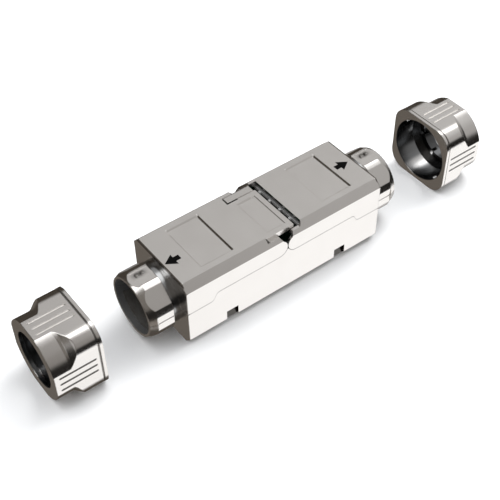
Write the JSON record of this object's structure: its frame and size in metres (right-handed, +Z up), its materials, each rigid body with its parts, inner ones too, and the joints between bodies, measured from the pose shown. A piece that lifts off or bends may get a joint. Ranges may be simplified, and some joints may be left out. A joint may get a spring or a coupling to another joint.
{
  "type": "shielded inline cable coupler",
  "caption": "Shielded inline coupler for twisted pair cable: a die-cast housing with hinged covers and a bayonet nut for each end.",
  "frame": {"origin": "middle of the flat underside of the housing", "axes": "+X along the cable axis towards the nut that stands further off, +Y across, +Z up through the covers"},
  "size_m": [0.1187, 0.02, 0.018],
  "materials": {
    "plated_zinc": "nickel plated die-cast zinc, satin",
    "plated_strip": "nickel plated, satin",
    "hinge_steel": "stamped steel",
    "clamp_metal": "nickel plated, bright",
    "board": "glass laminate with green solder mask",
    "insulating_film": "thin polyester film",
    "block_plastic": "dark grey moulded plastic",
    "guide_plastic": "pale grey moulded plastic",
    "contact_bronze": "tinned phosphor bronze",
    "spring_bronze": "phosphor bronze strip"
  },
  "bodies": {
    "base": {"circuit_board": "board", "contact_left_1": "contact_bronze", "contact_left_2": "contact_bronze", "contact_left_3": "contact_bronze", "contact_left_4": "contact_bronze", "contact_left_5": "contact_bronze", "contact_left_6": "contact_bronze", "contact_left_7": "contact_bronze", "contact_left_8": "contact_bronze", "contact_right_1": "contact_bronze", "contact_right_2": "contact_bronze", "contact_right_3": "contact_bronze", "contact_right_4": "contact_bronze", "contact_right_5": "contact_bronze", "contact_right_6": "contact_bronze", "contact_right_7": "contact_bronze", "contact_right_8": "contact_bronze", "hinge_pin_left_far": "hinge_steel", "hinge_pin_left_near": "hinge_steel", "hinge_pin_right_far": "hinge_steel", "hinge_pin_right_near": "hinge_steel", "hinge_plate_far": "hinge_steel", "hinge_plate_near": "hinge_steel", "insulating_sheet": "insulating_film", "lower_housing": "plated_zinc", "shield_spring_left": "spring_bronze", "shield_spring_right": "spring_bronze", "terminal_block_left": "block_plastic", "terminal_block_right": "block_plastic"},
    "cover_left": {"cover_left": "plated_zinc", "wire_guide_left": "guide_plastic", "hinge_strip": "plated_strip"},
    "cover_right": {"cover_right": "plated_zinc", "wire_guide_right": "guide_plastic"},
    "clamp_left": {"clamp_left": "clamp_metal"},
    "nut_left": {"nut_left": "plated_zinc"},
    "clamp_right": {"clamp_right": "clamp_metal"},
    "nut_right": {"nut_right": "plated_zinc"}
  },
  "joints": [
    {"name": "cover_left_hinge", "type": "hinge", "parent": "base", "child": "cover_left", "pos_m": [-0.00225, 0, 0.0141], "axis": [0, 1, 0], "range_deg": [0, 40]},
    {"name": "cover_right_hinge", "type": "hinge", "parent": "base", "child": "cover_right", "pos_m": [0.00225, 0, 0.0141], "axis": [0, -1, 0], "range_deg": [0, 40]},
    {"name": "nut_left_push", "type": "slide", "parent": "base", "child": "clamp_left", "axis": [1, 0, 0], "range_m": [0, 0.01945]},
    {"name": "nut_left_turn", "type": "hinge", "parent": "clamp_left", "child": "nut_left", "pos_m": [-0.05205, 0, 0.009], "axis": [1, 0, 0], "range_deg": [0, 22.5]},
    {"name": "nut_right_push", "type": "slide", "parent": "base", "child": "clamp_right", "axis": [-1, 0, 0], "range_m": [0, 0.02255]},
    {"name": "nut_right_turn", "type": "hinge", "parent": "clamp_right", "child": "nut_right", "pos_m": [0.05515, 0, 0.009], "axis": [-1, 0, 0], "range_deg": [0, 22.5]}
  ]
}
